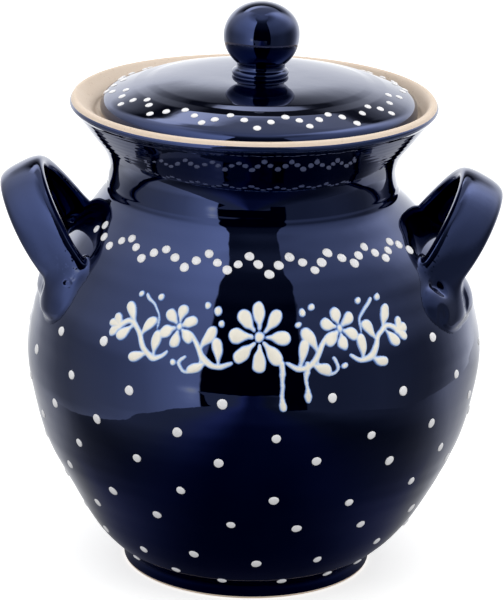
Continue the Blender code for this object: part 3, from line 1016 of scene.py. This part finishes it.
def spray():
    """A large flower in the middle, and to each side a waving vine with leaves, a smaller flower and a bud."""
    rng = random.Random(77)
    middle = 3.0
    strokes = blossom(middle, 1.0, 8, 4.1, 17.2, 7.0, 90, rng)
    for side in (-1, 1):
        def at(x, z):
            return (middle + side * x, z)

        def way(turn):
            return turn if side > 0 else 180 - turn

        # vine
        strokes.append(stem([at(14.5, -12.0), at(21, -14.5), at(29, -11.0), at(34, -3.0), at(37.5, 0.5)], [1.8, 2.7, 3.2, 2.8, 2.2]))
        strokes.append(stem([at(49.0, -9.5), at(56, -13.5), at(63.5, -9.5), at(68.5, -2.0), at(75.5, 1.5), at(81.5, -2.5)], [1.9, 2.8, 3.2, 2.8, 2.4, 3.0]))
        # leaves off the vine
        for x, z, turn, length, width, bend in (
            (21.0, -14.0, 86, 14.5, 5.6, -0.35),
            (27.0, -12.2, -42, 11.5, 5.4, 0.4),
            (31.5, -7.5, 108, 14.5, 5.8, 0.35),
            (56.0, -13.0, 78, 13.0, 5.4, 0.3),
            (60.5, -11.5, -34, 11.5, 5.4, 0.35),
            (66.5, -5.0, 112, 13.0, 5.6, 0.35),
            (71.5, 0.0, 66, 13.5, 5.4, -0.3),
            (72.5, 0.3, -58, 12.0, 5.4, 0.35),
        ):
            strokes.append(drop(*at(x, z), way(turn + rng.uniform(-4, 4)), length, width, bend * side))
        # bud at the end
        for turn, length in ((10, 8.5), (52, 8.0), (-38, 7.5)):
            strokes.append(drop(*at(80.5, -2.2), way(turn), length, 4.2, 0.0, 2.0))
        # small flower
        strokes += blossom(*at(45.0, 3.4), 6, 2.7, 11.2, 5.4, 90 + 8 * side, rng)
        # tendrils, fine enough for the cobalt to show through
        strokes.append(stem([at(30.5, -9.5), at(31.5, -15.5), at(37.0, -18.0), at(41.5, -14.5), at(39.5, -11.0)], [1.1, 1.2, 1.4, 1.6, 2.0]))
        strokes.append(stem([at(57.5, 0.5), at(59.0, 8.0), at(64.5, 12.5), at(69.0, 15.5)], [1.0, 1.3, 1.5, 2.2]))
        for x, z, w in ((24.0, 12.5, 4.4), (30.0, 14.8, 3.8), (21.5, 6.5, 3.4), (59.5, 15.5, 4.0), (45.0, -14.5, 3.8), (66.5, -15.5, 4.2), (73.0, 15.5, 3.6)):
            strokes.append([(*at(x, z), w), (at(x, z)[0] + 0.3, z + 0.1, w)])
    # slip that ran down before it set
    strokes.append([(14.6, -12.0, 3.6), (14.8, -17.5, 2.6), (14.9, -23.0, 2.2), (15.0, -28.0, 2.2), (15.1, -31.0, 3.0), (15.1, -33.6, 4.3), (15.1, -35.0, 4.0)])
    strokes.append([(27.6, -12.0, 3.0), (27.6, -17.0, 2.3), (27.7, -22.0, 2.1), (27.8, -26.5, 2.8), (27.8, -29.4, 4.1), (27.8, -30.8, 3.8)])
    return strokes


SPRAY_Z = 169.0
SPRAY_R = 119.5


def build_spray():
    """The trailed slip as a height over the wall: round-topped beads that melt together where they cross."""
    step = 0.42
    xs = np.arange(-94, 100, step)
    zs = np.arange(-39, 22, step)
    gx, gz = np.meshgrid(xs, zs, indexing="ij")
    r = random.Random(5)
    wob = [(r.uniform(0.2, 0.7), r.uniform(0.2, 0.7), r.uniform(0, math.tau), r.uniform(0.05, 0.14)) for _ in range(8)]
    wx = sum(a * np.sin(p * gx + q * gz + s) for p, q, s, a in wob)
    wz = sum(a * np.sin(q * gx - p * gz + s + 1.3) for p, q, s, a in wob)
    px, pz = gx + wx, gz + wz
    field = np.full(gx.shape, -9.0)
    wide = np.zeros(gx.shape)
    for line in spray():
        for (x0, z0, w0), (x1, z1, w1) in zip(line[:-1], line[1:]):
            reach = max(w0, w1) / 2 + 3
            i0, i1 = np.searchsorted(xs, (min(x0, x1) - reach, max(x0, x1) + reach))
            j0, j1 = np.searchsorted(zs, (min(z0, z1) - reach, max(z0, z1) + reach))
            if i0 >= i1 or j0 >= j1:
                continue
            qx, qz = px[i0:i1, j0:j1], pz[i0:i1, j0:j1]
            dx, dz = x1 - x0, z1 - z0
            t = np.clip(((qx - x0) * dx + (qz - z0) * dz) / max(dx * dx + dz * dz, 1e-9), 0, 1)
            half = (w0 + (w1 - w0) * t) / 2
            d = np.hypot(qx - x0 - dx * t, qz - z0 - dz * t)
            inside = half - d
            old = field[i0:i1, j0:j1]
            new = -smin(-old, -inside, 0.9)
            field[i0:i1, j0:j1] = new
            wide[i0:i1, j0:j1] = np.maximum(wide[i0:i1, j0:j1], np.where(inside > -0.8, half, 0))
    wide = np.maximum(wide, 0.6)
    rise = np.clip(field / wide, -1, 1)
    up = np.where(field > 0, np.sqrt(np.clip(1 - (1 - np.clip(field / wide, 0, 1)) ** 2, 0, 1)), 0)
    top = np.minimum(0.36 * wide + 0.14, 1.1)
    height = np.where(field > 0, up * top, field * 0.9)
    keep = field > -0.42
    cells = keep[:-1, :-1] & keep[1:, :-1] & keep[1:, 1:] & keep[:-1, 1:]
    index = np.full(gx.shape, -1)
    used = np.zeros(gx.shape, bool)
    for a, b in ((0, 0), (1, 0), (1, 1), (0, 1)):
        used[a : gx.shape[0] - 1 + a, b : gx.shape[1] - 1 + b] |= cells
    index[used] = np.arange(used.sum())
    x, z, h = gx[used], gz[used], height[used]
    points = on_wall(x / SPRAY_R, SPRAY_Z + z, h)
    quads = np.stack([index[:-1, :-1][cells], index[1:, :-1][cells], index[1:, 1:][cells], index[:-1, 1:][cells]], -1)
    made = mesh_object("slip_flower_spray", points * MM, quads, cream_slip)
    attribute = made.data.attributes.new("thick", "FLOAT", "POINT")
    attribute.data.foreach_set("value", np.clip(field[used] / 2.1, -0.4, 1.0).astype(np.float32))
    return made


flower = build_spray()
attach(flower, "pot")


# ---------------------------------------------------------------- floor, studio and camera

size = 6.0


def floor_white():
    """Pale paper, lit from below as well, so that only a soft shadow stays at the foot."""
    made, tree, shader = node_material("floor_white")
    shader.inputs["Base Color"].default_value = (0.80, 0.80, 0.80, 1)
    shader.inputs["Roughness"].default_value = 0.9
    shader.inputs["Specular IOR Level"].default_value = 0.0
    shader.inputs["Emission Color"].default_value = (1, 1, 1, 1)
    shader.inputs["Emission Strength"].default_value = FLOOR_GLOW
    return made


FLOOR_GLOW = 0.62
floor = mesh_object("floor", [(-size, -size, 0), (size, -size, 0), (size, size, 0), (-size, size, 0)], [(0, 1, 2, 3)], floor_white())
floor.visible_glossy = False
floor.visible_diffuse = False


def stops(tree, value, low, high, points):
    """A value read from straight lines between (place, value) points."""
    n = tree.nodes.new("ShaderNodeValToRGB")
    ramp = n.color_ramp
    ramp.interpolation = "LINEAR"
    for i, (place, v) in enumerate(points):
        at = (place - low) / (high - low)
        e = ramp.elements[i] if i < 2 else ramp.elements.new(at)
        e.position = at
        e.color = (v / 4, v / 4, v / 4, 1)
    link(tree, mapped(tree, value, low, high, 0.0, 1.0, "LINEAR"), n.inputs["Fac"])
    return calc(tree, "MULTIPLY", n.outputs["Color"], 4.0)


def glow_material(name):
    made = bpy.data.materials.new(name)
    made.use_nodes = True
    tree = made.node_tree
    tree.nodes.clear()
    emit = tree.nodes.new("ShaderNodeEmission")
    emit.inputs["Color"].default_value = (0.97, 0.985, 1.0, 1)
    out = tree.nodes.new("ShaderNodeOutputMaterial")
    link(tree, emit.outputs[0], out.inputs["Surface"])
    made.cycles.emission_sampling = "NONE"
    return made, tree, emit


def studio_glow():
    """What a glossy surface sees round it: two tall softboxes with a dark gap between them in front, and lit paper behind."""
    made, tree, emit = glow_material("studio_glow")
    place = tree.nodes.new("ShaderNodeNewGeometry").outputs["Position"]
    shift = tree.nodes.new("ShaderNodeVectorMath")
    shift.operation = "SUBTRACT"
    link(tree, place, shift.inputs[0])
    shift.inputs[1].default_value = (0, 0, 0.16)
    unit = tree.nodes.new("ShaderNodeVectorMath")
    unit.operation = "NORMALIZE"
    link(tree, shift.outputs[0], unit.inputs[0])
    split = tree.nodes.new("ShaderNodeSeparateXYZ")
    link(tree, unit.outputs[0], split.inputs[0])
    x, y, z = split.outputs

    def m(kind, a, b=None, clamp=False):
        return calc(tree, kind, a, b, clamp=clamp)

    deg = 180 / math.pi
    az = m("MULTIPLY", m("ARCTAN2", x, m("MULTIPLY", y, -1.0)), deg)
    el = m("MULTIPLY", m("ARCSINE", z), deg)
    wide = m("ABSOLUTE", az)

    def step(v, low, high, a=0.0, b=1.0):
        return mapped(tree, v, low, high, a, b)

    def over(v, *points):
        return stops(tree, v, -90.0, 90.0, points)

    def across(v, *points):
        return stops(tree, v, 0.0, 180.0, points)

    def blend(f, a, b):
        """a where f is 0, b where f is 1"""
        return m("ADD", m("MULTIPLY", m("SUBTRACT", 1.0, f), a), m("MULTIPLY", f, b))

    right = step(x, -0.02, 0.02)
    # softboxes, with a lamp showing through the left one
    left_box = m("MULTIPLY", over(el, *LEFT_UP), blend(step(el, 0.0, 34.0), across(wide, *LEFT_LOW), across(wide, *LEFT_HIGH)))
    right_box = m("MULTIPLY", over(el, *RIGHT_UP), blend(step(el, 8.0, 32.0), across(wide, *RIGHT_LOW), across(wide, *RIGHT_HIGH)))
    ha = m("MULTIPLY", m("SUBTRACT", az, LAMP[0]), 1 / LAMP[2])
    he = m("MULTIPLY", m("SUBTRACT", el, LAMP[1]), 1 / LAMP[3])
    lamp = m("EXPONENT", m("MULTIPLY", m("ADD", m("MULTIPLY", ha, ha), m("MULTIPLY", he, he)), -1.0))
    left_box = m("ADD", left_box, m("MULTIPLY", lamp, LAMP[4]))
    boxes = blend(right, left_box, right_box)
    # the gap between them opens out above the boxes' tops
    gap = over(el, *GAP_WIDE)
    gap = m("MULTIPLY", gap, 90.0)
    left_edge = m("ADD", az, gap)
    right_edge = m("SUBTRACT", m("ADD", gap, 1.5), az)
    in_gap = m("MULTIPLY", step(left_edge, -0.6, 0.6), step(right_edge, -0.6, 0.6))
    front = blend(in_gap, boxes, over(el, *GAP_UP))
    # paper and lamps behind
    back = blend(step(x, -0.25, 0.25), over(el, *BACK_LEFT), over(el, *BACK_RIGHT))
    glow = blend(step(wide, 132.0, 148.0), front, back)
    link(tree, glow, emit.inputs["Strength"])
    warm = m("MULTIPLY", lamp, m("SUBTRACT", 1.0, right))
    link(tree, mixed(tree, warm, (0.97, 0.985, 1.0), (1.0, 0.86, 0.55)), emit.inputs["Color"])
    return made


# Brightness by elevation, and by the angle round from the front low and high up, in degrees
LEFT_UP = ((-90, 0.02), (-46, 0.03), (-42, 1.4), (-30, 1.4), (-23, 1.0), (32, 1.0), (42, 1.18), (50, 1.3), (60, 1.42), (67, 1.0), (74, 0.7), (90, 0.95))
LEFT_LOW = ((0, 1.95), (31, 1.8), (41, 1.45), (54, 0.98), (72, 0.70), (88, 0.56), (104, 0.40), (114, 0.42), (126, 0.63), (145, 0.85), (180, 0.85))
LEFT_HIGH = ((0, 1.9), (38, 1.7), (60, 1.45), (80, 1.35), (96, 1.25), (112, 1.1), (140, 1.3), (180, 1.3))
RIGHT_UP = ((-90, 0.02), (-46, 0.03), (-42, 1.4), (-30, 1.4), (-23, 1.0), (32, 1.05), (42, 1.25), (50, 1.5), (60, 1.6), (67, 1.2), (74, 0.8), (90, 0.95))
RIGHT_LOW = ((0, 0.26), (40, 0.23), (65, 0.27), (85, 0.20), (96, 0.20), (105, 0.30), (115, 0.54), (127, 1.05), (145, 2.1), (156, 1.5), (180, 1.4))
RIGHT_HIGH = ((0, 0.55), (40, 0.55), (63, 0.60), (88, 0.72), (100, 0.95), (112, 1.45), (122, 2.0), (140, 2.0), (180, 1.7))
LAMP = (-29.5, -3.0, 4.0, 4.5, 2.4)
GAP_UP = ((-90, 0.006), (27, 0.010), (36, 0.03), (42, 0.06), (60, 0.10), (70, 0.28), (78, 0.80), (90, 1.0))
GAP_WIDE = ((-90, 25.0 / 90), (60, 25.0 / 90), (66, 28.0 / 90), (70, 42.0 / 90), (76, 75.0 / 90), (82, 120.0 / 90), (90, 185.0 / 90))
BACK_LEFT = ((-90, 0.1), (-40, 0.3), (-22, 0.80), (-12, 1.15), (-6, 1.4), (0, 1.65), (10, 1.81), (20, 1.90), (25, 1.1), (30, 0.52), (35, 0.25), (38, 0.12), (40, 0.03), (43, 0.03), (44.5, 0.2), (46.5, 3.2), (53, 3.2), (57, 0.8), (68, 0.85), (78, 0.85), (90, 1.0))
BACK_RIGHT = ((-90, 0.1), (-40, 0.35), (-22, 1.1), (-12, 1.6), (-6, 1.6), (0, 1.6), (10, 1.65), (15, 1.68), (20, 1.49), (25, 1.05), (30, 0.62), (35, 0.36), (38, 0.22), (40, 0.06), (43, 0.06), (44.5, 0.2), (46.5, 1.0), (53, 1.0), (57, 0.85), (68, 0.85), (78, 0.85), (90, 1.0))

bpy.ops.mesh.primitive_uv_sphere_add(segments=96, ring_count=64, radius=2.6, location=(0, 0, 0.16))
dome = bpy.context.active_object
dome.name = "studio_dome"
dome.data.materials.append(studio_glow())


def table_painted_light():
    """A glowing stand-in for the dark table top that the glaze mirrors, with painted light and shade in its glow: a
    painted shadow of the pot close round its foot, lighter towards the paper behind, and painted pools of light where
    the softboxes fall.
    """
    made, tree, emit = glow_material("table_painted_light")
    split = tree.nodes.new("ShaderNodeSeparateXYZ")
    link(tree, tree.nodes.new("ShaderNodeNewGeometry").outputs["Position"], split.inputs[0])
    x, y, _ = split.outputs

    def m(kind, a, b=None):
        return calc(tree, kind, a, b)

    # painted light beside the pot, with the pot's painted shadow close round its foot
    painted_light_beside = m("MULTIPLY", stops(tree, y, -2.6, 2.4, TABLE_PAINTED_LIGHT_BESIDE), mapped(tree, m("ABSOLUTE", x), 0.03, 0.12))
    toward = m("SUBTRACT", m("MULTIPLY", x, -0.6), m("MULTIPLY", y, 0.8))
    # painted pools of softbox light on the table to the left and to the right
    left = m("MULTIPLY", m("MULTIPLY", mapped(tree, toward, 0.18, 0.36), 0.26), mapped(tree, x, -0.02, -0.13))
    right = m("MULTIPLY", mapped(tree, x, 0.22, 0.42), 0.12)
    glow = m("ADD", m("ADD", painted_light_beside, stops(tree, y, -2.6, 2.4, TABLE_PAINTED_LIGHT_FAR)), m("ADD", left, right))
    link(tree, glow, emit.inputs["Strength"])
    # the glow is tinted blue in a strip straight in front of the pot
    plain = m("MAXIMUM", mapped(tree, y, -0.08, 0.02), mapped(tree, m("ABSOLUTE", x), 0.08, 0.22))
    link(tree, mixed(tree, plain, (0.70, 0.78, 1.55), (0.97, 0.98, 1.0)), emit.inputs["Color"])
    return made


# Painted light on the table by depth: beside the pot and far off, dark close to the foot where the pot's painted shadow
# falls, brighter towards the paper behind
TABLE_PAINTED_LIGHT_BESIDE = ((-0.2, 0.02), (-0.1, 0.05), (-0.05, 0.10), (-0.03, 0.15), (0.0, 0.26), (0.04, 0.45), (0.07, 0.55), (0.13, 0.45), (0.3, 0.0), (2.2, 0.0))
TABLE_PAINTED_LIGHT_FAR = ((-2.5, 0.12), (-0.85, 0.10), (-0.45, 0.095), (-0.36, 0.06), (-0.25, 0.045), (-0.12, 0.03), (0.0, 0.03), (0.06, 0.12), (0.2, 0.6), (0.4, 1.1), (0.64, 1.5), (2.2, 1.7))
TABLE_EDGE = ((-0.29, -0.85), (-1.15, -2.35), (-0.70, -2.62), (-0.20, -2.30), (0.25, -2.58), (0.66, -2.40), (0.235, -0.87), (0.45, -0.85), (0.45, 2.3), (-0.29, 2.3))
table = mesh_object("studio_table", [(x, y, -0.0005) for x, y in TABLE_EDGE], [tuple(range(len(TABLE_EDGE)))], table_painted_light())
for stage_piece in (dome, table):
    for flag in ("visible_camera", "visible_diffuse", "visible_transmission", "visible_volume_scatter", "visible_shadow"):
        setattr(stage_piece, flag, False)

world = bpy.data.worlds.new("studio_air")
scene.world = world
world.use_nodes = True
world.node_tree.nodes["Background"].inputs["Color"].default_value = (1, 1, 1, 1)
world.node_tree.nodes["Background"].inputs["Strength"].default_value = 0.46
world.cycles_visibility.glossy = False


def area(name, place, target, size_x, size_y, power):
    data = bpy.data.lights.new(name, "AREA")
    data.shape = "RECTANGLE"
    data.size, data.size_y = size_x, size_y
    data.energy = power
    made = bpy.data.objects.new(name, data)
    scene.collection.objects.link(made)
    made.location = place
    made.rotation_euler = (Vector(target) - Vector(place)).to_track_quat("-Z", "Y").to_euler()
    made.visible_camera = False
    made.visible_glossy = False
    return made


area("softbox_top", (0.0, 0.1, 1.9), (0, 0, 0.1), 2.4, 2.4, 22)
area("softbox_left", (-1.5, -1.1, 0.9), (0, 0, 0.15), 1.2, 1.2, 10)
area("softbox_right", (1.6, -0.9, 0.8), (0, 0, 0.15), 1.2, 1.2, 11)

# Camera: fitted to the pot's outline in the photograph
pitch, yaw, roll = math.radians(17.7543), math.radians(0.0125), math.radians(1.3632)
forward = Vector((math.sin(yaw) * math.cos(pitch), math.cos(yaw) * math.cos(pitch), -math.sin(pitch)))
right_ = forward.cross(Vector((0, 0, 1))).normalized()
up_ = right_.cross(forward)
cam_x = right_ * math.cos(roll) + up_ * math.sin(roll)
cam_y = -right_ * math.sin(roll) + up_ * math.cos(roll)
camera_data = bpy.data.cameras.new("camera")
camera_data.sensor_width = 36.0
camera_data.sensor_fit = "AUTO"
camera_data.lens = 3166.97 * 36.0 / 600.0
camera = bpy.data.objects.new("camera", camera_data)
scene.collection.objects.link(camera)
turn = Matrix((cam_x, cam_y, -forward)).transposed()
camera.matrix_world = Matrix.Translation((-0.0019, -1.7063, 0.6995)) @ turn.to_4x4()
scene.camera = camera

scene.view_settings.view_transform = "Standard"
scene.view_settings.look = "None"
scene.view_settings.use_curve_mapping = True
curves = scene.view_settings.curve_mapping
curves.black_level = (0.0016, 0.0016, 0.0016)
curves.update()
scene.cycles.use_denoising = True
scene.cycles.max_bounces = 8
scene.cycles.glossy_bounces = 6
